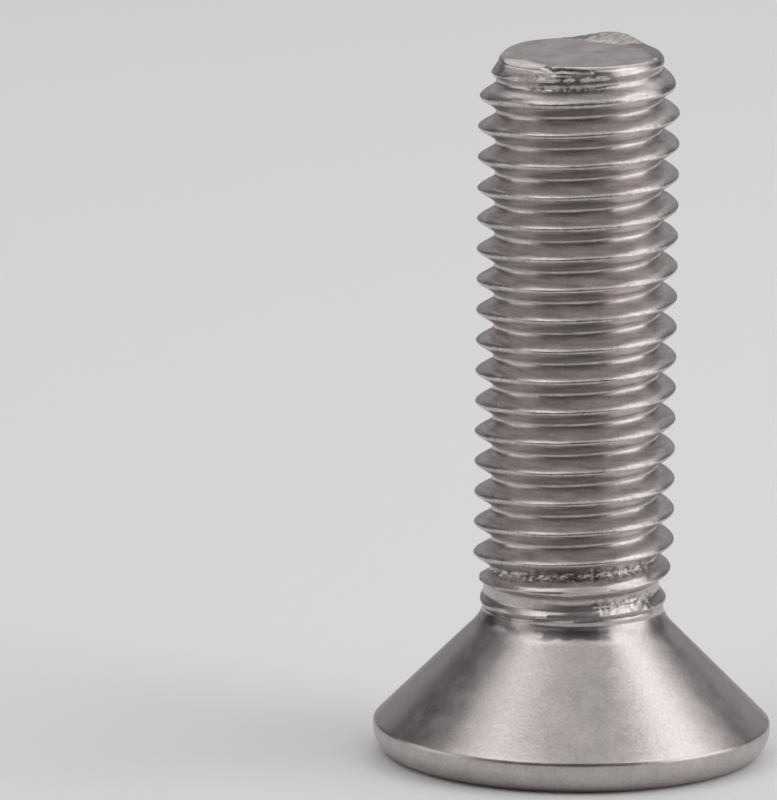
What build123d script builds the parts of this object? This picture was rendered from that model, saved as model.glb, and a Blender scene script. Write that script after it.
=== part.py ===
"""Countersunk socket screw: flat 90 degree head, hexagon socket, rolled right-hand thread.

Millimetres. The screw stands on its head: the origin is the centre of the flat
head face and +Z runs along the axis to the tip.
"""

import os
from math import atan, ceil, cos, degrees, radians, tan

from build123d import *

# ---- driving dimensions ----
overall_length = 34.6  # from the head face to the middle of the tip face

# head
head_diameter = 19.4
head_angle = 90.0  # included angle of the countersunk cone
head_land = 1.5  # height of the rim, from the head face to the cone
head_edge_radius = 1.15  # rounding between the head face and the rim
cone_edge_radius = 0.12  # rounding between the rim and the cone
neck_diameter = 8.56
neck_radius = 2.4  # fillet from the cone into the neck

# socket
hex_across_flats = 6.08
hex_depth = 4.4
mouth_diameter = 7.95  # round countersink at the mouth
mouth_angle = 120.0
floor_disc_diameter = 4.7
floor_angle = 120.0  # bevel from the hexagon down to the floor disc

# thread
thread_major_diameter = 9.8
thread_pitch = 1.5
thread_angle = 60.0  # included angle of the flanks
crest_share = 0.14  # crest flat, as a share of the pitch
depth_share = 0.6  # thread depth, as a share of the pitch

# collar of plain rolled blank between the neck and the thread
collar_diameter = 8.98
collar_rise = 0.32  # its foot above the corner of cone and neck
collar_height = 0.55
collar_edge = 0.08  # bevel round its foot
first_groove_rise = 0.63  # first full groove above the collar, on the +X side
full_crest_rise = 2.1  # crests reach the major diameter this far above the collar
runout_turns = 0.5  # turns over which the groove fades into the collar

# tip
tip_face_diameter = 8.0
tip_taper_length = 3.0  # length over which the crests curve in to the tip
tip_tilt = 1.6  # degrees that the sheared tip face leans
tip_tilt_azimuth = 80.0  # direction of its high side, from +X towards +Y
tip_rim_width = 0.5  # flat rim round the dished middle
dish_depth = 0.15

# how far a cutting tool passes beyond the metal that it cuts
cut_margin = 0.15

# ---- derived sizes ----
head_radius = head_diameter / 2
neck_wall_radius = neck_diameter / 2
collar_radius = collar_diameter / 2
major_radius = thread_major_diameter / 2
tip_face_radius = tip_face_diameter / 2
hex_flat_radius = hex_across_flats / 2
mouth_radius = mouth_diameter / 2
floor_disc_radius = floor_disc_diameter / 2

cone_top_height = head_land + (head_radius - neck_wall_radius) / tan(radians(head_angle / 2))
neck_top_height = cone_top_height + neck_radius * tan(radians(head_angle / 4)) + cut_margin
collar_foot_height = cone_top_height + collar_rise
collar_top_height = collar_foot_height + collar_height
first_groove_height = collar_top_height + first_groove_rise

thread_depth = depth_share * thread_pitch
root_radius = major_radius - thread_depth
flank_slope = tan(radians(thread_angle / 2))
crest_width = crest_share * thread_pitch
root_width = thread_pitch - crest_width - 2 * thread_depth * flank_slope

tip_rise = tip_face_radius * tan(radians(tip_tilt))
blank_length = overall_length + tip_rise


def groove_section(radius):
    """Section of the thread groove in the XZ plane, with its root at this radius."""
    outer_radius = radius + thread_depth + cut_margin
    half_root = root_width / 2
    half_mouth = half_root + (outer_radius - radius) * flank_slope
    with BuildSketch(Plane.XZ) as section:
        with BuildLine():
            Polyline(
                (radius, -half_root),
                (radius, half_root),
                (outer_radius, half_mouth),
                (outer_radius, -half_mouth),
                close=True,
            )
        make_face()
    return section.sketch


# ---- head: rounded rim, countersunk cone and filleted neck ----
with BuildPart() as head:
    with BuildSketch(Plane.XZ) as head_profile:
        with BuildLine():
            Polyline(
                (0, 0),
                (head_radius, 0),
                (head_radius, head_land),
                (neck_wall_radius, cone_top_height),
                (neck_wall_radius, neck_top_height),
                (0, neck_top_height),
                close=True,
            )
        make_face()
        rim_foot, rim_top = head_profile.vertices().group_by(Axis.X)[-1].sort_by(Axis.Y)
        neck_corner = head_profile.vertices().group_by(Axis.X)[1].sort_by(Axis.Y)[0]
        fillet(rim_foot, head_edge_radius)
        fillet(rim_top, cone_edge_radius)
        fillet(neck_corner, neck_radius)
    revolve(axis=Axis.Z)

# ---- shank blank: collar, thread envelope and curved-in tip ----
with BuildPart() as shank:
    with BuildSketch(Plane.XZ):
        with BuildLine():
            taper_base = (major_radius, overall_length - tip_taper_length)
            taper_end = (tip_face_radius, blank_length)
            Polyline(
                (0, collar_foot_height),
                (collar_radius - collar_edge, collar_foot_height),
                (collar_radius, collar_foot_height + collar_edge),
                (collar_radius, collar_top_height),
                (major_radius, collar_top_height + full_crest_rise),
                taper_base,
            )
            TangentArc(taper_base, taper_end, tangent=(0, 1))
            Polyline(taper_end, (0, blank_length), (0, collar_foot_height))
        make_face()
    revolve(axis=Axis.Z)

# ---- tip tool: what it leaves is the leaning, dished face of a sheared wire ----
with BuildPart() as tip_tool:
    with BuildSketch(Plane.XZ):
        with BuildLine():
            dish_edge = (tip_face_radius - tip_rim_width, 0)
            tool_top = 2 * tip_rise + 1
            TangentArc((0, -dish_depth), dish_edge, tangent=(1, 0))
            Polyline(
                dish_edge,
                (2 * major_radius, 0),
                (2 * major_radius, tool_top),
                (0, tool_top),
                (0, -dish_depth),
            )
        make_face()
    revolve(axis=Axis.Z)

# ---- thread tools: one turn of the groove, and the stretch where it fades out ----
with BuildPart() as groove_turn:
    with BuildLine() as turn_path:
        Helix(pitch=thread_pitch, height=thread_pitch, radius=root_radius)
    sweep(groove_section(root_radius), path=turn_path.wire(), is_frenet=True)

with BuildPart() as groove_runout:
    runout_height = runout_turns * thread_pitch
    runout_radius = collar_radius + cut_margin
    runout_angle = atan((runout_radius - root_radius) / runout_height)
    with BuildLine() as runout_path:
        Helix(
            pitch=thread_pitch / cos(runout_angle),
            height=runout_height,
            radius=runout_radius,
            cone_angle=-degrees(runout_angle),
        )
    sweep(groove_section(runout_radius), path=runout_path.wire(), is_frenet=True)

# ---- socket tool: mouth countersink, hexagon and bevelled floor ----
with BuildPart() as socket_tool:
    with BuildSketch(Plane.XY.offset(-cut_margin)):
        RegularPolygon(hex_flat_radius, 6, major_radius=False, rotation=30)
    extrude(amount=hex_depth + cut_margin)
    with BuildSketch(Plane.XZ):
        with BuildLine():
            mouth_slope = tan(radians(mouth_angle / 2))
            Polyline(
                (0, -cut_margin),
                (mouth_radius + cut_margin * mouth_slope, -cut_margin),
                (0, mouth_radius / mouth_slope),
                close=True,
            )
        make_face()
        with BuildLine():
            floor_slope = tan(radians(floor_angle / 2))
            floor_depth = hex_depth + (hex_flat_radius - floor_disc_radius) / floor_slope
            Polyline(
                (0, hex_depth - cut_margin),
                (hex_flat_radius, hex_depth - cut_margin),
                (hex_flat_radius, hex_depth),
                (floor_disc_radius, floor_depth),
                (0, floor_depth),
                close=True,
            )
        make_face()
    revolve(axis=Axis.Z)

# ---- the screw ----
groove_turns = ceil((blank_length - first_groove_height) / thread_pitch) + 1
tip_lean = Rotation(0, 0, tip_tilt_azimuth) * Rotation(0, -tip_tilt, 0)

with BuildPart() as countersunk_socket_screw:
    add(head.part)
    add(shank.part)
    with Locations(Location((0, 0, overall_length)) * tip_lean):
        add(tip_tool.part, mode=Mode.SUBTRACT)
    for turn in range(groove_turns):
        with Locations((0, 0, first_groove_height + turn * thread_pitch)):
            add(groove_turn.part, mode=Mode.SUBTRACT, clean=False)
    with Locations(Location((0, 0, first_groove_height - runout_height), (0, 0, -360 * runout_turns))):
        add(groove_runout.part, mode=Mode.SUBTRACT, clean=False)
    add(socket_tool.part, mode=Mode.SUBTRACT, clean=False)

countersunk_socket_screw.part.label = "countersunk_socket_screw"
os.makedirs("parts", exist_ok=True)
export_step(countersunk_socket_screw.part, "parts/countersunk_socket_screw.step")
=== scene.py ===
"""Countersunk socket screw: the dressed model of a cold-formed, thread-rolled stainless screw.

One closed surface stands for the whole screw: the hexagon socket, the flat head, the cone and
neck, the rolled thread and the sheared tip. Sizes in the classes are millimetres, and they
become metres when the mesh is made. Heights are measured from the head face, which rests on
the floor, and angles from +X towards +Y.
"""

import logging
from dataclasses import dataclass, field
from enum import Enum

import bpy
import numpy as np
from mathutils import Matrix, Vector


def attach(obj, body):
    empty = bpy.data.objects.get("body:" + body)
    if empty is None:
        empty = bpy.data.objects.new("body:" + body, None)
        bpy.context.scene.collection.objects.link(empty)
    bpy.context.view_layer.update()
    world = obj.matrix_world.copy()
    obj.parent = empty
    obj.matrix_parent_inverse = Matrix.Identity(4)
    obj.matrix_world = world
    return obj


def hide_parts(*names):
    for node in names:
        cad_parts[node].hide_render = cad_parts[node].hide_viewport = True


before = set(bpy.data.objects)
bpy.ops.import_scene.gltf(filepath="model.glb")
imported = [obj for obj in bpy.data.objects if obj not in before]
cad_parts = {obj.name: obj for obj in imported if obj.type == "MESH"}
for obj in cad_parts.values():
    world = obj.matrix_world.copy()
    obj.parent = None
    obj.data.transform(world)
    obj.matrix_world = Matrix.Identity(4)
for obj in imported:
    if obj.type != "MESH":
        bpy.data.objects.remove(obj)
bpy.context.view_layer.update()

Array = np.ndarray
Pair = tuple[float, float]
Output = bpy.types.NodeSocket
Value = float | tuple | Output

LOG = logging.getLogger("countersunk_socket_screw")
NODE = "countersunk_socket_screw"
TORN = "torn"
# mesh attribute: real stain on the tip's torn lip, and painted dark reflection in the head's fillet
STAIN_AND_PAINTED_REFLECTION = "stain_and_painted_reflection"
MM = 0.001
TURN = 2 * np.pi
FRONT = -90.0  # degrees: the side that faces the camera
WORN_SIDE = 174.0  # degrees: the side where the tip is worn round
SHARP = np.radians(38.0)  # edges between faces that turn by more than this stay sharp


# ---- shaping functions ----


def ease(low: float, high: float, x: Array) -> Array:
    """Rises from 0 at low to 1 at high along the cubic 3t^2 - 2t^3.

    Args:
        low: value of x where the rise starts.
        high: value of x where it ends. It may lie below low, and then the curve falls.
        x: where the curve is wanted.

    Returns:
        The height of the curve, from 0 to 1.
    """
    t = np.clip((x - low) / (high - low), 0.0, 1.0)
    return t * t * (3.0 - 2.0 * t)


def soft_min(a: Array, b: Array, width: float) -> Array:
    """The lesser of a and b, with the corner rounded where they differ by less than width.

    Inside that band the curve is the parabola a + b over 2, less (width^2 + (a-b)^2) / 4 width.

    Args:
        a: first surface.
        b: second surface.
        width: difference at which the rounding starts.

    Returns:
        The rounded lesser of the two.
    """
    share = np.clip(0.5 + 0.5 * (b - a) / width, 0.0, 1.0)
    return b + (a - b) * share - width * share * (1.0 - share)


def bump(x: Array, centre: float, width: float) -> Array:
    """Bell curve exp(-((x - centre) / width)^2)."""
    return np.exp(-(((x - centre) / width) ** 2))


def angle_from(theta: Array, centre: float) -> Array:
    """Signed angle in degrees from centre to theta, the short way round.

    Args:
        theta: angles in radians.
        centre: angle in degrees that counts as zero.

    Returns:
        Degrees from -180 to 180.
    """
    return (np.degrees(theta) - centre + 180.0) % 360.0 - 180.0


def ripple(theta: Array, z: Array, size: float, radius: float, seed: int) -> Array:
    """Random relief that closes round the screw: a sum of plane waves in angle and height.

    Each wave is cos(m theta + k z + phase), with a whole number m so that it meets itself after
    a turn, and with a length of 0.7 to 1.4 times size in any direction.

    Args:
        theta: angles in radians.
        z: heights in mm.
        size: length of a wave, in mm.
        radius: radius in mm at which that length holds round the screw.
        seed: picks the waves.

    Returns:
        Relief with a mean square of about 1.
    """
    waves = 28
    draw = np.random.default_rng(seed)
    direction = draw.uniform(0.0, np.pi, waves)
    length = size * draw.uniform(0.7, 1.4, waves)
    phase = draw.uniform(0.0, TURN, waves)
    around = np.round(TURN * radius * np.cos(direction) / length)
    along = TURN * np.sin(direction) / length
    relief = np.zeros(np.broadcast(theta, z).shape)
    for m, k, p in zip(around, along, phase):
        relief += np.cos(m * theta + k * z + p)
    return relief * np.sqrt(2.0 / waves)


# ---- profiles: rows of (radius, height) ----


def straight(start: Pair, end: Pair, count: int) -> Array:
    """Count points evenly along a line, from start up to but without end."""
    share = np.linspace(0.0, 1.0, count, endpoint=False)[:, None]
    return np.asarray(start) * (1.0 - share) + np.asarray(end) * share


def arc(centre: Pair, semi_axes: Pair, start: float, end: float, count: int) -> Array:
    """Count points along an arc of an ellipse, without the last one.

    A point is the centre plus (a cos t, b sin t), with t even between the two angles.

    Args:
        centre: radius and height of the centre.
        semi_axes: a along the radius and b along the height.
        start: first angle t, in degrees.
        end: last angle t, in degrees.
        count: how many points.

    Returns:
        Rows of (radius, height).
    """
    t = np.radians(np.linspace(start, end, count, endpoint=False))[:, None]
    return np.asarray(centre) + np.hstack([semi_axes[0] * np.cos(t), semi_axes[1] * np.sin(t)])


def revolved(profile: Array, theta: Array) -> Array:
    """Rings of points: each (radius, height) row carried round the axis to every angle.

    Args:
        profile: rows of (radius, height), in mm.
        theta: angles in radians.

    Returns:
        Array of rings, angles and the three coordinates.
    """
    radius = np.repeat(profile[:, :1], theta.size, axis=1)
    height = np.repeat(profile[:, 1:], theta.size, axis=1)
    return placed(radius, theta[None, :], height)


def placed(radius: Array, theta: Array, height: Array) -> Array:
    """Points at (radius cos theta, radius sin theta, height)."""
    across = (radius * np.cos(theta), radius * np.sin(theta))
    return np.stack(np.broadcast_arrays(*across, height), axis=-1)


# ---- sub-assemblies of the one surface ----


@dataclass
class Socket:
    """Hexagon socket, open at the head face, with a round countersink and a bevelled floor."""

    across_flats: float = 6.08
    depth: float = 4.4
    mouth_diameter: float = 7.95
    mouth_slope: float = np.tan(np.radians(60.0))
    floor_disc_diameter: float = 4.7
    floor_slope: float = np.tan(np.radians(60.0))
    edge_break: float = 0.05

    def wall_radius(self, theta: Array) -> Array:
        """Axis to hexagon: half the flats over the cosine of the angle to the nearest flat."""
        sector = np.pi / 3
        return self.across_flats / 2 / np.cos((theta + sector / 2) % sector - sector / 2)

    def rings(self, theta: Array) -> Array:
        """Rings from the middle of the floor, down the walls and out over the mouth's cone.

        The cone meets the hexagon where its radius, falling with height at mouth_slope, equals
        the wall's, which gives the scalloped edge.

        Args:
            theta: the screw's angles in radians.

        Returns:
            Rings of points, the first one small and round the middle of the floor.
        """
        wall = self.wall_radius(theta)
        disc = self.floor_disc_diameter / 2
        mouth = self.mouth_diameter / 2
        floor = self.depth + (self.across_flats / 2 - disc) / self.floor_slope
        scallop = (mouth - wall) / self.mouth_slope
        corner = self.depth - (wall - self.across_flats / 2) / self.floor_slope
        rows = [(disc * share, floor) for share in (0.12, 0.4, 0.75)]
        rows += [(disc - self.edge_break, floor), (disc + self.edge_break, floor - self.edge_break)]
        rings = [placed(np.full_like(theta, r), theta, z) for r, z in rows]
        for share in (0.5, 1.0):
            radius = disc + (wall - disc) * share
            rings.append(placed(radius, theta, floor + (corner - floor) * share))
        for share in (0.03, 0.35, 0.7, 0.97, 1.0):
            rings.append(placed(wall, theta, corner + (scallop - corner) * share))
        for share in (0.05, 0.5, 0.93, 0.985):
            rings.append(placed(wall + (mouth - wall) * share, theta, scallop * (1.0 - share)))
        return np.array(rings)


@dataclass
class Head:
    """Flat face, rounded rim, countersunk cone and the fillet up to the collar."""

    face_bore: float = 7.95
    diameter: float = 19.4
    land: float = 1.58
    edge_reach: float = 1.1
    edge_rise: float = 1.32
    cone_angle: float = 45.0
    neck_radius: float = 4.28
    fillet: float = 2.4
    collar_foot: float = 7.12
    edge_rounding: float = 0.34
    mouth_edge: float = 0.06
    # painted dark reflection in the fillet: middle and reach in degrees, low and high edge in mm
    painted_reflection_spots: tuple = ((271.0, 21.0, 6.57, 7.1), (217.0, 14.0, 6.78, 7.42))

    def profile(self) -> Array:
        """Rows of (radius, height) from the socket's mouth to the foot of the collar.

        The rim is a quarter ellipse, the cone a straight line, and the fillet an arc about a
        centre that lies one fillet radius from the cone and from the neck. An arc of
        edge_rounding, tangent to both, breaks the edge between rim and cone.

        Returns:
            The rows, in mm.
        """
        rim = self.diameter / 2
        mouth = self.face_bore / 2
        slope = np.radians(self.cone_angle)
        half_tan = np.tan(np.radians(self.cone_angle / 2))
        cone_top = self.land + (rim - self.neck_radius)
        centre = (self.neck_radius + self.fillet, cone_top + self.fillet * half_tan)
        cone_end = (centre[0] - self.fillet * np.cos(slope), centre[1] - self.fillet * np.sin(slope))
        foot_angle = 180.0 + np.degrees(np.arcsin((centre[1] - self.collar_foot) / self.fillet))
        tangent = self.edge_rounding * half_tan
        break_foot = self.land - tangent
        bend = (rim - self.edge_rounding, break_foot)
        face_end = rim - self.edge_reach
        off_edge = tangent * np.cos(slope)
        on_cone = (rim - off_edge, self.land + off_edge)
        pieces = [
            straight((mouth, 0.0), (mouth + self.mouth_edge, 0.0), 1),
            straight((mouth + self.mouth_edge, 0.0), (face_end, 0.0), 6),
            arc((face_end, self.edge_rise), (self.edge_reach, self.edge_rise), -90, 0, 14),
            straight((rim, self.edge_rise), (rim, break_foot), 3),
            arc(bend, (self.edge_rounding, self.edge_rounding), 0.0, self.cone_angle, 7),
            straight(on_cone, cone_end, 20),
            arc(centre, (self.fillet, self.fillet), 180.0 + self.cone_angle, foot_angle, 12),
        ]
        return np.vstack(pieces)

    def rings(self, theta: Array) -> Array:
        """Rings of points from the socket's mouth to the foot of the collar."""
        return revolved(self.profile(), theta)

    def stain_and_painted_reflection(self, theta: Array, z: Array) -> Array:
        """Painted dark reflection in the fillet: a long patch in front, one to its left, ragged edges.

        Each patch has a middle, a reach to either side in degrees, and a low and a high edge in
        mm, which fall with the square of the angle from the middle.

        Args:
            theta: angles in radians.
            z: heights in mm.

        Returns:
            Share of painted dark reflection, from 0 to 1.
        """
        ragged = ripple(theta, 2.0 * z, 0.7, 4.6, 41)
        painted_reflections = np.zeros(np.broadcast(theta, z).shape)
        for middle, reach, low, high in self.painted_reflection_spots:
            away = np.abs(angle_from(theta, middle)) + 1.5 * ragged
            height = z + 0.03 * ragged + 0.09 * (away / reach) ** 2
            band = ease(low - 0.05, low + 0.09, height) * ease(high + 0.08, high - 0.16, height)
            painted_reflections = np.maximum(painted_reflections, band * ease(reach + 5.0, reach - 5.0, away))
        return painted_reflections


@dataclass
class Shank:
    """Collar, run-out and rolled right-hand thread, as a radius over angle and height."""

    pitch: float = 1.5
    crest_radius: float = 4.92
    root_radius: float = 4.03
    root_fillet: float = 0.26
    crest_rounding: float = 0.33
    first_root: float = 8.42
    full_crest: float = 9.89
    crest_wear: float = 0.36

    neck_radius: float = 4.41
    collar_radius: float = 4.52
    collar_top: float = 7.67
    collar_slope: float = 0.84
    collar_drop: float = 0.2
    drop_towards: float = 190.0
    drop_width: float = 75.0
    bead_width: float = 0.09
    crease_depth: float = 0.035
    crease_rise: float = -0.17
    crease_width: float = 0.04

    gap_below: float = 0.115
    gap_above: float = 0.28
    gap_tilt: float = 0.3
    tilt_top: float = 0.155
    tilt_at: float = -88.0
    tilt_width: float = 21.0
    level_past: float = -0.25
    gap_toe: float = 0.06

    smear_radius: float = 4.67
    smear_lean: float = 0.26
    smear_foot: float = 8.82
    smear_middle: float = 8.85
    smear_top: float = 9.2
    smear_rounding: float = 0.08

    taper_start: float = 31.7
    taper_rate: float = 0.115
    tip_creep: float = 0.055
    tip_shave: float = 0.3
    facet_towards: float = -133.0
    facet_distance: float = 3.92
    facet_slope: float = 0.51
    crack_height: float = 34.4
    crack_depth: float = 0.22
    seams: tuple = ((-50.0, 26.0, 33.88, 32), (-42.0, 18.0, 33.4, 33))

    bottom: float = 7.3
    top: float = 34.2
    steps: int = 18
    crowding: float = 0.5

    def level(self, z: Array) -> Array:
        """Heights less the creep of the grooves, which stand up to tip_creep higher at the tip."""
        return z - self.tip_creep * ease(26.0, 34.0, z)

    def turns(self, theta: Array, z: Array) -> Array:
        """Height over groove 0 as a share of the pitch, at the same angle."""
        return (z - self.first_root) / self.pitch - theta / TURN

    def envelope(self, theta: Array, z: Array) -> Array:
        """Radius that the crests reach: neck, collar, a straight rise, full size and the tip's curve.

        The collar is a bead that the last groove pushed up, over a thin crease, so it dips on the
        left where that groove runs out. At the tip the radius falls with the square of the height
        above taper_start, and more on the left, where the end is worn round.

        Args:
            theta: angles in radians.
            z: heights in mm.

        Returns:
            Radii in mm.
        """
        dip = self.collar_drop * bump(angle_from(theta, self.drop_towards), 0.0, self.drop_width)
        above = z - (self.collar_top - dip)
        out = self.collar_radius - self.neck_radius
        bead = out * bump(np.minimum(above, 0.0), 0.0, self.bead_width)
        crease = self.crease_depth * bump(above, self.crease_rise, self.crease_width)
        rise = np.clip(above / (self.full_crest - self.collar_top), 0.0, 1.0)
        crest = self.neck_radius + bead - crease + (self.crest_radius - self.collar_radius) * rise
        fall = self.taper_rate * np.maximum(z - self.taper_start, 0.0) ** 2
        shave = self.tip_shave * bump(angle_from(theta, WORN_SIDE), 0.0, 38.0)
        return crest - fall - shave * ease(32.0, 34.3, z)

    def groove(self, theta: Array, z: Array, number: Array) -> Array:
        """Radius of one numbered groove: an arc at the root between flanks that enclose 60 degrees.

        Where the groove runs out, its bottom is a flat gap, whose lower part leans back at
        gap_tilt in front, and its lower flank leans over into the collar at collar_slope. Past
        the front it stays level, in place of going on down the helix.

        Args:
            theta: angles in radians, from 0 to one turn.
            z: heights in mm.
            number: whole number of the groove, 0 for the one at first_root on the +X side.

        Returns:
            The groove's radius, lifted where it runs out into the collar.
        """
        across = z - self.first_root - self.pitch * np.maximum(number + theta / TURN, self.level_past)
        travel = np.degrees(theta) + 360.0 * number
        lean = ease(150.0, 30.0, travel)
        in_gap = np.clip(across, -self.gap_below, self.tilt_top)
        tilted = self.gap_tilt * (self.tilt_top - in_gap) * bump(travel, self.tilt_at, self.tilt_width)
        across = across - np.clip(across, -self.gap_below * lean, self.gap_above * lean)
        slope = np.sqrt(3.0)
        apex = self.root_radius - self.root_fillet
        arc_end = self.root_fillet * slope / 2
        in_arc = np.minimum(np.abs(across), arc_end)
        bottom = apex + 2 * self.root_fillet - np.sqrt(self.root_fillet**2 - in_arc**2)
        section = np.where(np.abs(across) < arc_end, bottom, apex + slope * np.abs(across))
        toe = self.gap_toe
        leaning = self.root_radius + self.collar_slope * (np.hypot(across, toe) - toe)
        section = section + (leaning - section) * lean * (across < 0.0)
        return section + tilted + self.filling(travel)

    def filling(self, travel: Array) -> Array:
        """How much shallower a groove is along its run-out.

        It leaves the collar over the first stretch, stays a little shallow for another turn, and
        is smeared where the rolling tore it.

        Args:
            travel: degrees wound from the +X side of groove 0, negative along the run-out.

        Returns:
            Lift of the groove's bottom, in mm.
        """
        leaving = 0.12 * ease(-50.0, -95.0, travel) + 0.5 * ease(-165.0, -230.0, travel)
        shallow = 0.14 * (1.0 - ease(-20.0, 330.0, travel))
        smeared = 0.16 * bump(travel, -52.0, 20.0)
        return leaving + shallow + smeared

    def radius(self, theta: Array, z: Array) -> Array:
        """Radius of the finished shank: the rounded least of envelope and the two nearest grooves.

        The corners are sharper at the collar, and metal is smeared over the first ridge above it.

        Args:
            theta: angles in radians, from 0 to one turn.
            z: heights in mm.

        Returns:
            Radii in mm.
        """
        body = self.facet(theta, z, self.envelope(theta, z))
        level = self.level(z)
        rounding = self.crest_rounding * (0.12 + 0.88 * ease(8.7, 9.2, z))
        below = np.floor(self.turns(theta, level))
        for number in (below, below + 1):
            body = soft_min(body, self.groove(theta, level, number), rounding)
        body = -soft_min(-body, -self.smear(theta, z), self.smear_rounding)
        return body + self.roughness(theta, z) - self.fold(theta, z)

    def smear(self, theta: Array, z: Array) -> Array:
        """Radius of the metal smeared over the first ridge in front: it leans back, then drops off.

        Its heights follow the helix, counted from the middle of the front.

        Args:
            theta: angles in radians.
            z: heights in mm.

        Returns:
            Radii in mm.
        """
        front = angle_from(theta, FRONT)
        height = z - self.pitch * front / 360.0
        leaning = self.smear_radius - self.smear_lean * (height - self.smear_middle)
        leaning = leaning - 2.5 * np.maximum(height - self.smear_top, 0.0)
        beside = 1.5 * ease(50.0, 85.0, np.abs(front))
        return leaning - 4.0 * np.maximum(self.smear_foot - height, 0.0) - beside

    def facet(self, theta: Array, z: Array, body: Array) -> Array:
        """Cuts a small sheared flat into the last crest at the front left.

        The flat's radius is its distance from the axis, less with height, over the cosine of the
        angle from its middle.

        Args:
            theta: angles in radians.
            z: heights in mm.
            body: radii in mm before the cut.

        Returns:
            Radii in mm.
        """
        away = np.radians(angle_from(theta, self.facet_towards))
        distance = self.facet_distance - self.facet_slope * (z - 34.05)
        flat = distance / np.maximum(np.cos(away), 0.2)
        cut = soft_min(body, flat, 0.22)
        near = ease(33.6, 33.95, z) * ease(0.75, 0.6, np.abs(away))
        return body + (cut - body) * near

    def fold(self, theta: Array, z: Array) -> Array:
        """Depth of the crack where the last crest folded over under the edge of the end face.

        Finer seams run below it, along the crest's foot and in the last groove. Each seam is
        given by its two ends in degrees from the front, its height and its seed.

        Args:
            theta: angles in radians.
            z: heights in mm.

        Returns:
            Depths in mm.
        """
        front = angle_from(theta, FRONT)
        wander = ripple(theta, np.zeros_like(theta), 0.9, 4.0, 31)
        reach = ease(-30.0, -24.0, front) * ease(12.0, 4.0, front)
        height = self.crack_height - 0.06 * ease(-4.0, 10.0, front) + 0.018 * wander
        crack = self.crack_depth * reach * bump(z, height, 0.065)
        seams = np.zeros(np.broadcast(theta, z).shape)
        for start, end, low, seed in self.seams:
            ragged = ripple(theta, np.zeros_like(theta), 0.6, 4.0, seed)
            along = ease(start, start + 8.0, front) * ease(end, end - 8.0, front)
            line = low + self.pitch * (front + 15.0) / 360.0 + 0.022 * ragged
            seams = seams + along * (0.05 + 0.02 * ragged) * bump(z, line, 0.055)
        return crack + seams

    def tears(self, theta: Array, z: Array) -> tuple[Array, Array, Array, Array]:
        """Shares, from 0 to 1, by which the skin is torn or worn in four kinds of place.

        Args:
            theta: angles in radians.
            z: heights in mm.

        Returns:
            Tears in front in the lowest full groove, at the front right over the collar, and at
            the front left in the top groove and crest; then nicks half a pitch over each root.
        """
        front = angle_from(theta, FRONT)
        turned = self.turns(theta, z)
        flank = ease(-0.23, -0.12, turned) * ease(0.24, 0.12, turned)
        flank = flank * ease(-95.0, -60.0, front) * ease(85.0, 50.0, front)

        slope = ease(7.66, 7.82, z) * ease(8.66, 8.45, z)
        shoulder = 0.7 * slope * ease(8.0, 20.0, front) * ease(78.0, 56.0, front)

        groove = ease(33.3, 33.45, z) * ease(34.2, 34.05, z)
        groove = groove * ease(-48.0, -34.0, front) * ease(34.0, 12.0, front)
        crest = ease(33.95, 34.1, z) * ease(-32.0, -26.0, front) * ease(20.0, 8.0, front)
        tip = np.maximum(0.5 * groove, 0.3 * crest)

        turned = self.turns(theta, self.level(z))
        full = ease(8.9, 9.3, z) * ease(33.9, 33.6, z)
        nicks = self.crest_wear * full * bump(turned - np.floor(turned), 0.5, 0.13)
        return flank, shoulder, tip, nicks

    def torn(self, theta: Array, z: Array) -> Array:
        """Share by which the skin is torn or worn, 0 where it is whole."""
        return np.maximum.reduce(self.tears(theta, z))

    def roughness(self, theta: Array, z: Array) -> Array:
        """Relief: lumps and grit where the skin is torn, and faint waves elsewhere.

        Heights count double for lumps and grit, because a flank is twice as long as it is high.

        Args:
            theta: angles in radians.
            z: heights in mm.

        Returns:
            Relief in mm.
        """
        along = 2.0 * z
        lumps = ripple(theta, along, 0.6, self.root_radius, 11)
        grit = ripple(theta, along, 0.4, self.root_radius, 13)
        waves = ripple(theta, z, 1.6, self.crest_radius, 12)
        flank, shoulder, tip, _ = self.tears(theta, z)
        rough = 0.03 * flank + 0.018 * shoulder
        gritty = 0.016 * flank + 0.014 * shoulder
        return lumps * (rough + 0.006 * tip) + grit * (gritty + 0.005 * tip) + 0.003 * waves

    def strip_steps(self) -> Array:
        """Shares of a pitch where a row of points runs, crowded together at root and crest.

        Even steps t become t - c sin(4 pi t) / 4 pi, whose spacing is least at 0 and one half.
        """
        t = np.arange(self.steps) / self.steps
        return t - self.crowding * np.sin(2 * TURN * t) / (2 * TURN)

    def strip(self, theta: Array) -> tuple[Array, Array]:
        """The thread as one long strip a pitch wide, wound round the screw.

        A row keeps its place in the pitch, so that rows follow the helix: its height is start +
        pitch (turns + theta / a turn + share), with the whole turns that its column has wound.

        Args:
            theta: angles in radians of the columns that make one turn.

        Returns:
            Heights of the points, one row per column, and the angle of each column.
        """
        whole = np.ceil((self.first_root - self.bottom) / self.pitch + 1)
        start = self.first_root - self.pitch * whole
        turns = int(np.ceil((self.top - start) / self.pitch)) + 1
        column = np.arange(turns * theta.size + 1)
        angle = theta[column % theta.size]
        wound = column // theta.size + angle / TURN
        height = start + self.pitch * (wound[:, None] + self.strip_steps()[None, :])
        return height, angle


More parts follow.
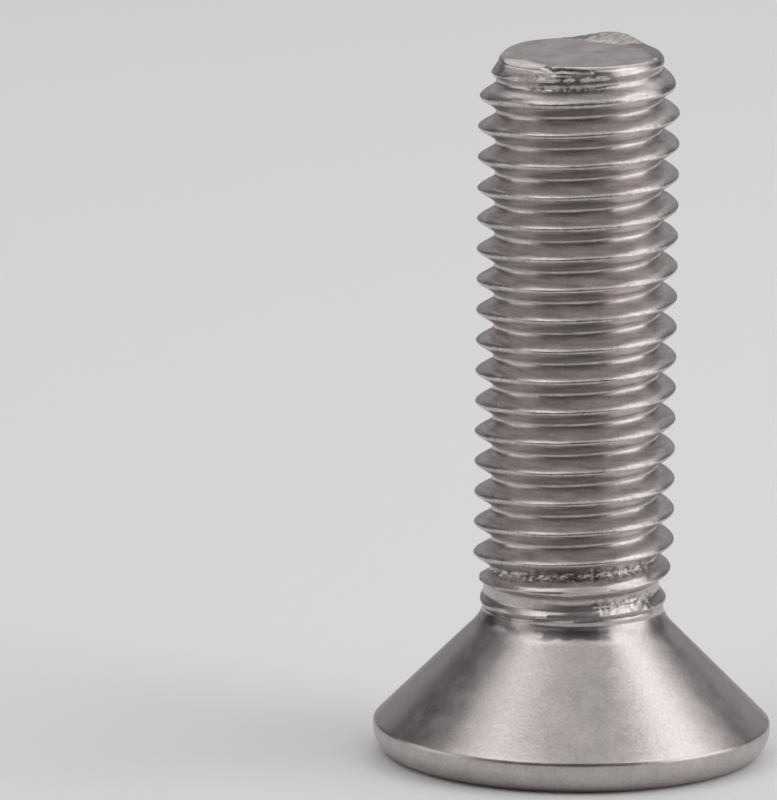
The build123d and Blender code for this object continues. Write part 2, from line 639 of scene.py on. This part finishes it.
@dataclass
class Tip:
    """Sheared end: a leaning face inside the last crest, with a torn lip on its far right."""

    face_height: float = 34.62
    lean: float = 0.95
    lean_towards: float = 80.0
    rim_radius: float = 3.77
    dish: float = 0.05
    edge_wear: float = 0.2
    lip_height: float = 0.36
    lip_width: float = 0.9
    lip_towards: float = 60.0
    peak_towards: float = 65.0
    lip_step: float = 0.03
    bevel_towards: float = 224.0
    bevel_start: float = 3.24
    bevel_slope: float = 0.6
    bevel_rounding: float = 0.1
    stain: float = 0.9
    stained_above: float = 34.5

    def plane(self, theta: Array, radius: Array) -> Array:
        """The leaning plane, worn down at its left edge.

        Args:
            theta: angles in radians.
            radius: distances from the axis, in mm.

        Returns:
            Heights in mm.
        """
        towards = np.radians(self.lean_towards)
        worn = self.edge_wear * bump(angle_from(theta, WORN_SIDE), 0.0, 24.0)
        level = self.face_height + np.tan(np.radians(self.lean)) * radius * np.cos(theta - towards)
        return level - worn * ease(0.7, 1.0, radius / self.rim_radius)

    def face(self, theta: Array, radius: Array) -> Array:
        """Height of the end face: the plane, a shallow dish, faint waves and the torn lip.

        A flat bevel cuts the edge at the front left. It starts bevel_start from the axis, counted
        towards bevel_towards, and falls by bevel_slope.

        Args:
            theta: angles in radians.
            radius: distances from the axis, in mm.

        Returns:
            Heights in mm.
        """
        share = radius / self.rim_radius
        hollow = -self.dish * (1.0 - ease(0.5, 0.97, share))
        waves = 0.006 * ripple(theta, radius * 1.5, 2.0, 2.5, 23) * ease(0.1, 0.5, share)
        height = self.plane(theta, radius) + hollow + waves + self.lip(theta, radius)
        out = radius * np.cos(theta - np.radians(self.bevel_towards))
        bevel = self.face_height + self.bevel_slope * (self.bevel_start - out)
        return soft_min(height, bevel, self.bevel_rounding)

    def lip_share(self, theta: Array, radius: Array) -> Array:
        """How far across the torn strip a point lies.

        Args:
            theta: angles in radians.
            radius: distances from the axis, in mm.

        Returns:
            Share from 0 at the strip's ragged inner edge to 1 at the rim.
        """
        away = angle_from(theta, self.lip_towards)
        width = self.lip_width * ease(46.0, 24.0, away) * ease(-85.0, -60.0, away)
        width = width * (1.0 - 0.35 * ease(-20.0, -60.0, away))
        ragged = 0.05 * ripple(theta, np.zeros_like(theta), 0.7, self.rim_radius, 24)
        inner = self.rim_radius - width * (1.0 + ragged)
        across = np.clip((radius - inner) / np.maximum(width, 0.05), 0.0, 1.0)
        return across * np.clip(width / 0.2, 0.0, 1.0)

    def lip(self, theta: Array, radius: Array) -> Array:
        """Torn strip left by the shear: a low step, a rise towards the rim, and lumps.

        Its height at the rim is greatest near peak_towards and falls away to both sides.

        Args:
            theta: angles in radians.
            radius: distances from the axis, in mm.

        Returns:
            Heights over the plane, in mm.
        """
        away = angle_from(theta, self.peak_towards)
        crown = self.lip_height * ease(38.0, -2.0, away) * ease(-34.0, -6.0, away)
        share = self.lip_share(theta, radius)
        lumps = 0.007 * ripple(theta, radius * 1.2, 0.7, self.rim_radius, 21)
        lumps += 0.004 * ripple(theta, radius * 1.2, 0.45, self.rim_radius, 22)
        step = self.lip_step * ease(0.0, 0.15, share)
        return crown * share + step + lumps * ease(0.0, 0.3, share)

    def rings(self, theta: Array, shank: Shank) -> tuple[Array, Array]:
        """Rings from the top of the shank, round the rim and in over the end face.

        The rim is a quarter ellipse from the shank's radius to the face's, and the fold under
        the face's edge is cut into it.

        Args:
            theta: the screw's angles in radians.
            shank: the shank that the tip ends.

        Returns:
            Rings of points, and for each point how torn the skin is there.
        """
        start = shank.radius(theta, np.full_like(theta, shank.top)) + shank.fold(theta, shank.top)
        rings, torn = [], []
        edge = self.face(theta, np.full_like(theta, self.rim_radius))
        for share in np.linspace(0.1, 1.0, 10):
            turn = np.pi / 2 * share
            radius = self.rim_radius + (start - self.rim_radius) * np.cos(turn)
            height = shank.top + (edge - shank.top) * np.sin(turn)
            rings.append(placed(radius - shank.fold(theta, height), theta, height))
            under = shank.tears(theta, height)[2] * (share < 0.6)
            torn.append(np.maximum(under, self.lip_torn(theta, radius)))
        for share in np.linspace(0.985, 0.02, 24):
            radius = self.rim_radius * np.full_like(theta, share)
            rings.append(placed(radius, theta, self.face(theta, radius)))
            torn.append(self.lip_torn(theta, radius))
        return np.array(rings), np.array(torn)

    def lip_torn(self, theta: Array, radius: Array) -> Array:
        """Share by which the skin is torn on the lip."""
        return 0.6 * ease(0.0, 0.2, self.lip_share(theta, radius))


# ---- the screw ----


@dataclass
class Screw:
    """Joins the sub-assemblies into one closed mesh and dresses it."""

    sector_columns: tuple = (15, 16, 16, 14, 12, 15, 19, 25, 25, 25, 25, 19)
    snap: float = 0.012
    socket: Socket = field(default_factory=Socket)
    head: Head = field(default_factory=Head)
    shank: Shank = field(default_factory=Shank)
    tip: Tip = field(default_factory=Tip)

    def angles(self) -> Array:
        """Angles of the columns: even within each sector, and closest where the wear is fine.

        Returns:
            Angles in radians, from 0 to one turn.
        """
        sector = TURN / len(self.sector_columns)
        parts = [sector * (k + np.arange(n) / n) for k, n in enumerate(self.sector_columns)]
        return np.concatenate(parts)

    def shank_ring(self, theta: Array, z: float) -> Array:
        """One ring of points round the shank at height z."""
        return placed(self.shank.radius(theta, np.full(theta.size, z)), theta, z)[None]

    def surface(self) -> tuple[Array, Array, Array]:
        """All points and triangles of the closed surface.

        The rings below the thread end in a ring round the neck, and those above it start from
        one under the rim. Points of the wound strip that fall below or above those two rings
        take their place, and triangles that lose a corner that way are dropped.

        Returns:
            Points in mm, rows of three indices, turned outwards, and how torn each point is and
            how much real stain and painted dark reflection it carries.
        """
        theta = self.angles()
        n = theta.size
        shank = self.shank
        foot_z = np.linspace(self.head.collar_foot, shank.bottom, 5)[1:-1]
        foot = np.column_stack([np.full_like(foot_z, shank.neck_radius), foot_z])
        below = [self.socket.rings(theta), self.head.rings(theta), revolved(foot, theta)]
        low = np.concatenate([*below, self.shank_ring(theta, shank.bottom)])
        tip, tip_torn = self.tip.rings(theta, shank)
        high = np.concatenate([self.shank_ring(theta, shank.top), tip])
        height, angle = shank.strip(theta)
        wound = placed(shank.radius(angle[:, None], height), angle[:, None], height)

        low_at = np.arange(low.shape[0] * n).reshape(-1, n)
        wound_at = low_at.size + np.arange(height.size).reshape(height.shape)
        first_high = low_at.size + height.size
        high_at = first_high + np.arange(high.shape[0] * n).reshape(-1, n)
        poles = first_high + high_at.size + np.arange(2)
        column = np.arange(height.shape[0]) % n
        under = height < shank.bottom + self.snap
        over = height > shank.top - self.snap
        wound_at = np.where(under, low_at[-1][column][:, None], wound_at)
        wound_at = np.where(over, high_at[0][column][:, None], wound_at)
        following = np.vstack([wound_at[n:, :1], high_at[0][column[-n:], None]])
        wound_at = np.hstack([wound_at, following])

        ends = np.array([low[0].mean(axis=0), high[-1].mean(axis=0)])
        parts = [low.reshape(-1, 3), wound.reshape(-1, 3), high.reshape(-1, 3), ends]
        points = np.concatenate(parts)
        faces = np.concatenate(
            [
                self.fan(poles[0], low_at[0][::-1]),
                self.between(np.hstack([low_at, low_at[:, :1]])),
                self.between(wound_at.T),
                self.between(np.hstack([high_at, high_at[:, :1]])),
                self.fan(poles[1], high_at[-1]),
            ]
        )
        torn = np.concatenate(
            [
                np.zeros(low_at.size),
                shank.torn(angle[:, None], height).ravel(),
                shank.torn(theta, np.full(n, shank.top)),
                tip_torn.ravel(),
                np.zeros(2),
            ]
        )
        on_neck = np.hypot(points[:, 0], points[:, 1]) > shank.neck_radius - 0.06
        around = np.arctan2(points[:, 1], points[:, 0])
        # painted dark reflection in the head's fillet
        stain_and_painted_reflection = on_neck * self.head.stain_and_painted_reflection(around, points[:, 2])
        on_face = tip[..., 2].ravel() > self.tip.stained_above
        first_tip = first_high + n
        # real stain on the tip's torn lip, added to the same attribute
        tip_stain = self.tip.stain * tip_torn.ravel() * on_face
        stain_and_painted_reflection[first_tip : first_tip + tip_torn.size] += tip_stain
        return self.compact(points, faces, np.column_stack([torn, stain_and_painted_reflection]))

    @staticmethod
    def between(at: Array) -> Array:
        """Two triangles for each cell of a grid of points.

        Args:
            at: indices, whose rows go up and whose columns go round.

        Returns:
            Rows of three indices.
        """
        a, b = at[:-1, :-1].ravel(), at[:-1, 1:].ravel()
        c, d = at[1:, 1:].ravel(), at[1:, :-1].ravel()
        return np.concatenate([np.column_stack([a, b, c]), np.column_stack([a, c, d])])

    @staticmethod
    def fan(pole: int, ring: Array) -> Array:
        """Triangles from a closed ring of indices to one point in its middle."""
        return np.column_stack([ring, np.roll(ring, -1), np.full(ring.size, pole)])

    @staticmethod
    def compact(points: Array, faces: Array, wear: Array) -> tuple[Array, Array, Array]:
        """Drops triangles with a repeated corner, and points that no triangle uses.

        Args:
            points: rows of coordinates.
            faces: rows of three indices.
            wear: a row of wear for each point.

        Returns:
            What is left of the three.
        """
        whole = np.all(faces != np.roll(faces, -1, axis=1), axis=1)
        used, faces = np.unique(faces[whole], return_inverse=True)
        return points[used], faces.reshape(-1, 3), wear[used]


def mesh_object(name: str, points: Array, faces: Array) -> bpy.types.Object:
    """Makes a smooth-shaded mesh object at the origin.

    Args:
        name: name of the object and its mesh.
        points: rows of coordinates in mm.
        faces: rows of three indices.

    Returns:
        The object, linked to the scene.
    """
    mesh = bpy.data.meshes.new(name)
    mesh.vertices.add(len(points))
    mesh.vertices.foreach_set("co", (points * MM).astype(np.float32).ravel())
    mesh.loops.add(faces.size)
    mesh.loops.foreach_set("vertex_index", faces.astype(np.int32).ravel())
    mesh.polygons.add(len(faces))
    mesh.polygons.foreach_set("loop_start", np.arange(0, faces.size, 3, dtype=np.int32))
    mesh.update(calc_edges=True)
    mesh.validate()
    mesh.polygons.foreach_set("use_smooth", np.ones(len(faces), dtype=bool))
    mesh.set_sharp_from_angle(angle=SHARP)
    thing = bpy.data.objects.new(name, mesh)
    bpy.context.scene.collection.objects.link(thing)
    return thing


# ---- finishes ----


class Operation(Enum):
    """Arithmetic of a math node."""

    SUBTRACT = "SUBTRACT"
    MULTIPLY = "MULTIPLY"
    MULTIPLY_ADD = "MULTIPLY_ADD"


@dataclass
class Shading:
    """Node tree of a material, with short ways to add nodes."""

    tree: bpy.types.NodeTree

    def feed(self, node: bpy.types.Node, inputs: dict) -> None:
        """Sets inputs to numbers or colours, or links them to the outputs of other nodes.

        Args:
            node: the node that is fed.
            inputs: a number, colour or output for each input, by name or place.
        """
        for key, value in inputs.items():
            if isinstance(value, Output):
                self.tree.links.new(value, node.inputs[key])
            else:
                node.inputs[key].default_value = value

    def add(self, kind: str, inputs: dict) -> bpy.types.Node:
        """Adds a node and feeds its inputs.

        Args:
            kind: Blender's name for the type of node.
            inputs: what each input is fed.

        Returns:
            The node.
        """
        made = self.tree.nodes.new(kind)
        self.feed(made, inputs)
        return made

    def maths(self, operation: Operation, *values: Value) -> Output:
        """Arithmetic on two or three values.

        Args:
            operation: what is done with them.
            values: numbers or outputs.

        Returns:
            The result.
        """
        made = self.tree.nodes.new("ShaderNodeMath")
        made.operation = operation.value
        self.feed(made, dict(enumerate(values)))
        return made.outputs[0]

    def remap(self, value: Output, source: Pair, target: Pair = (0.0, 1.0)) -> Output:
        """Carries a value from one range to another, clamped at the ends.

        Args:
            value: what is carried.
            source: the range that it comes in.
            target: the range that it goes to.

        Returns:
            The value there.
        """
        ends = zip(("From Min", "From Max", "To Min", "To Max"), (*source, *target))
        return self.add("ShaderNodeMapRange", {"Value": value, **dict(ends)}).outputs["Result"]

    def ramp(self, share: Output, stops: tuple) -> Output:
        """Colour that changes along a value.

        Args:
            share: the value, from 0 to 1.
            stops: pairs of a position and a colour, with the two ends first.

        Returns:
            The colour.
        """
        made = self.add("ShaderNodeValToRGB", {"Fac": share})
        elements = made.color_ramp.elements
        for element, (position, colour) in zip(list(elements), stops):
            element.position = position
            element.color = (*colour, 1.0)
        for position, colour in stops[2:]:
            elements.new(position).color = (*colour, 1.0)
        return made.outputs["Color"]

    def blend(self, share: Output, under: Value, over: Value) -> Output:
        """Mixes two colours.

        Args:
            share: how much of the second colour shows, from 0 to 1.
            under: first colour.
            over: second colour.

        Returns:
            The mixed colour.
        """
        made = self.tree.nodes.new("ShaderNodeMix")
        made.data_type = "RGBA"
        self.feed(made, {"Factor": share, "A": under, "B": over})
        return made.outputs["Result"]

    def attribute(self, name: str) -> Output:
        """Reads a mesh attribute.

        Args:
            name: the attribute's name.

        Returns:
            Its value.
        """
        made = self.tree.nodes.new("ShaderNodeAttribute")
        made.attribute_name = name
        return made.outputs["Fac"]

    def noise(self, size: float, detail: float, stretch: float = 1.0) -> Output:
        """Noise on object coordinates whose grains are size mm high.

        Args:
            size: height of a grain in mm.
            detail: octaves of finer noise on top.
            stretch: how many times longer than high a grain is, along X and Y.

        Returns:
            The noise, from 0 to 1.
        """
        place = self.add("ShaderNodeTexCoord", {}).outputs["Object"]
        scale = (1.0 / stretch, 1.0 / stretch, 1.0)
        grain = self.add("ShaderNodeMapping", {"Vector": place, "Scale": scale}).outputs["Vector"]
        fed = {"Vector": grain, "Scale": 1.0 / (size * MM), "Detail": detail}
        return self.add("ShaderNodeTexNoise", fed).outputs["Fac"]


@dataclass(frozen=True)
class SteelFinish:
    """Cold-formed stainless steel: fine orange peel, rolling streaks, torn and stained skin, and a
    painted dark reflection.
    """

    colour: tuple = (0.54, 0.494, 0.486)
    stain: tuple = (0.22, 0.19, 0.18)
    bright: tuple = (0.64, 0.6, 0.59)
    # dark colour of the real stains on the tip and of the painted dark reflection in the fillet
    residue_and_painted_reflection: tuple = (0.18, 0.165, 0.16)
    roughness: float = 0.33
    roughness_swing: float = 0.025
    tone_swing: float = 0.22
    peel_size: float = 0.17
    swell_size: float = 0.9
    swell_share: float = 0.7
    grit_size: float = 0.24
    streak_size: float = 0.14
    streak_stretch: float = 9.0
    streak_start: float = 7.7
    streak_share: float = 2.2
    peel_depth: float = 0.006
    grit_depth: float = 0.035

    def streaks(self, nodes: Shading) -> Output:
        """Fine lines along the rolling, which fade out down the millimetre over streak_start.

        Args:
            nodes: the material's nodes.

        Returns:
            The lines, from -0.5 to 0.5.
        """
        lines = nodes.noise(self.streak_size, 2.0, self.streak_stretch)
        place = nodes.add("ShaderNodeTexCoord", {}).outputs["Object"]
        height = nodes.add("ShaderNodeSeparateXYZ", {0: place}).outputs["Z"]
        fade = (self.streak_start * MM, (self.streak_start + 1.0) * MM)
        even = nodes.maths(Operation.SUBTRACT, lines, 0.5)
        return nodes.maths(Operation.MULTIPLY, even, nodes.remap(height, fade))

    def material(self) -> bpy.types.Material:
        """Builds the node material.

        Whole skin has noise in its tone, roughness and relief. Torn skin goes over to a coarser
        noise that runs from stained pits to bright points.

        Returns:
            The material.
        """
        made = bpy.data.materials.new("cold_formed_stainless")
        made.use_nodes = True
        nodes = Shading(made.node_tree)
        peel = nodes.noise(self.peel_size, 2.0)
        swell = nodes.noise(self.swell_size, 1.0)
        grit = nodes.noise(self.grit_size, 2.0)
        add = Operation.MULTIPLY_ADD
        streaked = nodes.maths(add, self.streaks(nodes), self.streak_share, peel)
        skin = nodes.maths(add, swell, self.swell_share, streaked)
        swing = (self.roughness - self.roughness_swing, self.roughness + self.roughness_swing)
        relief = {"Distance": self.peel_depth * MM, "Height": skin}
        torn = nodes.attribute(TORN)
        tear = {
            "Strength": torn,
            "Distance": self.grit_depth * MM,
            "Height": grit,
            "Normal": nodes.add("ShaderNodeBump", relief).outputs["Normal"],
        }

        darker = tuple(c * (1.0 - self.tone_swing) for c in self.colour)
        lighter = tuple(c * (1.0 + self.tone_swing) for c in self.colour)
        whole = nodes.ramp(nodes.remap(skin, (0.35, 1.35)), ((0.0, darker), (1.0, lighter)))
        speckles = ((0.36, self.stain), (0.64, self.bright), (0.47, self.colour))
        worn = nodes.blend(torn, whole, nodes.ramp(grit, speckles))
        surface = {
            "Metallic": 1.0,
            # real stain on the tip's torn lip and painted dark reflection in the head's fillet, both
            # blended in the same dark colour
            "Base Color": nodes.blend(nodes.attribute(STAIN_AND_PAINTED_REFLECTION), worn, (*self.residue_and_painted_reflection, 1.0)),
            "Roughness": nodes.remap(swell, (0.3, 0.7), swing),
            "Normal": nodes.add("ShaderNodeBump", tear).outputs["Normal"],
        }
        nodes.feed(made.node_tree.nodes["Principled BSDF"], surface)
        return made


# ---- studio ----


@dataclass(frozen=True)
class Softbox:
    """Rectangular soft lamp on a sphere round the screw, looking inwards.

    Bearing is in degrees from +X towards +Y, rise in degrees above the floor, size and distance
    in metres, and power in watts.
    """

    name: str
    bearing: float
    rise: float
    size: Pair
    power: float
    distance: float = 0.5
    looks_at: tuple = (0.0, 0.0, 0.015)

    def build(self) -> None:
        """Makes the lamp."""
        around, up = np.radians(self.bearing), np.radians(self.rise)
        away = Vector((np.cos(around) * np.cos(up), np.sin(around) * np.cos(up), np.sin(up)))
        data = bpy.data.lights.new(self.name, "AREA")
        data.shape = "RECTANGLE"
        data.size, data.size_y = self.size
        data.energy = self.power
        thing = bpy.data.objects.new(self.name, data)
        thing.location = Vector(self.looks_at) + self.distance * away
        thing.rotation_euler = away.to_track_quat("Z", "Y").to_euler()
        bpy.context.scene.collection.objects.link(thing)


LAMPS = (
    Softbox("right_low", -10.0, 15.0, (0.46, 0.28), 0.72),
    Softbox("right_high", -10.0, 48.0, (0.42, 0.26), 0.6),
    Softbox("right_back", 42.0, 48.0, (0.34, 0.26), 0.18),
    Softbox("left_low", 185.0, 15.0, (0.44, 0.26), 0.34),
    Softbox("left_high", 191.0, 55.0, (0.28, 0.24), 0.23),
    Softbox("left_front", 221.0, 54.0, (0.3, 0.2), 0.2),
    Softbox("front_high", 270.0, 66.0, (0.4, 0.2), 0.18),
    Softbox("overhead", 90.0, 86.0, (0.34, 0.3), 0.14),
    Softbox("back_high", 96.0, 52.0, (0.5, 0.24), 0.5),
    Softbox("back_low", 90.0, 16.0, (0.7, 0.22), 0.155),
)


@dataclass
class Studio:
    """Pale floor, soft lamps and the camera."""

    elevation: float = 11.5
    roll: float = -0.72
    distance: float = 520.0
    scale: float = 20.58
    aim: tuple = (0.0, 0.0, 17.5)
    aim_pixel: tuple = (575.4, 399.7)
    frame_size: tuple = (777, 800)
    sensor: float = 36.0
    floor_reach: float = 600.0
    floor_tone: float = 0.9
    floor_roughness: float = 0.9
    surrounding: float = 0.08

    def floor(self) -> None:
        """Large flat floor at the height of the head face."""
        corners = self.floor_reach * np.array([[-1, -1, 0], [1, -1, 0], [1, 1, 0], [-1, 1, 0]])
        thing = mesh_object("floor", corners, np.array([[0, 1, 2], [0, 2, 3]]))
        paper = bpy.data.materials.new("paper")
        paper.use_nodes = True
        shader = paper.node_tree.nodes["Principled BSDF"]
        shader.inputs["Base Color"].default_value = (*[self.floor_tone] * 3, 1.0)
        shader.inputs["Roughness"].default_value = self.floor_roughness
        thing.data.materials.append(paper)

    def lamps(self) -> None:
        """Soft lamps all round, most of the light from the right, and a dim even surrounding."""
        for lamp in LAMPS:
            lamp.build()
        world = bpy.data.worlds.new("surrounding")
        world.use_nodes = True
        background = world.node_tree.nodes["Background"]
        background.inputs["Color"].default_value = (*[self.surrounding] * 3, 1.0)
        bpy.context.scene.world = world

    def camera(self) -> None:
        """Camera that sees the aim point at aim_pixel, with scale pixels to a millimetre there.

        It looks along +Y and down by the elevation, turns about its line of sight by the roll,
        and then pans until the aim point, which was in the middle, stands at aim_pixel.
        """
        width, height = self.frame_size
        focal = self.scale * self.distance
        sight = Vector((self.aim_pixel[0] - width / 2, height / 2 - self.aim_pixel[1], -focal))
        tilt, roll = np.radians(self.elevation), np.radians(self.roll)
        rise, run = np.sin(tilt), np.cos(tilt)
        level = Matrix(((1, 0, 0), (0, rise, -run), (0, run, rise)))
        turned = level @ Matrix.Rotation(roll, 3, "Z").transposed()
        pan = Vector((0, 0, -1)).rotation_difference(sight).to_matrix()
        turned = turned @ pan.transposed()
        place = Vector(self.aim) - turned @ (sight * (self.distance / focal))
        data = bpy.data.cameras.new("camera")
        data.sensor_width = self.sensor
        data.lens = focal * self.sensor / max(width, height)
        data.clip_start, data.clip_end = 0.01, 10.0
        thing = bpy.data.objects.new("camera", data)
        thing.matrix_world = Matrix.Translation(place * MM) @ turned.to_4x4()
        bpy.context.scene.collection.objects.link(thing)
        bpy.context.scene.camera = thing
        bpy.context.scene.view_settings.view_transform = "Standard"

    def build(self) -> None:
        """Sets up everything round the screw."""
        self.floor()
        self.lamps()
        self.camera()


def main() -> None:
    """Builds the screw and the studio, and reports each piece."""
    logging.basicConfig(level=logging.INFO, format="%(name)s: %(message)s")
    points, faces, wear = Screw().surface()
    screw = mesh_object("screw", points, faces)
    for name, share in zip((TORN, STAIN_AND_PAINTED_REFLECTION), wear.T.astype(np.float32)):
        screw.data.attributes.new(name, "FLOAT", "POINT").data.foreach_set("value", share.copy())
    screw.data.materials.append(SteelFinish().material())
    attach(screw, "root")
    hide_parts(NODE)
    LOG.info("screw: %d points, %d triangles", len(points), len(faces))
    Studio().build()


if __name__ == "__main__":
    main()
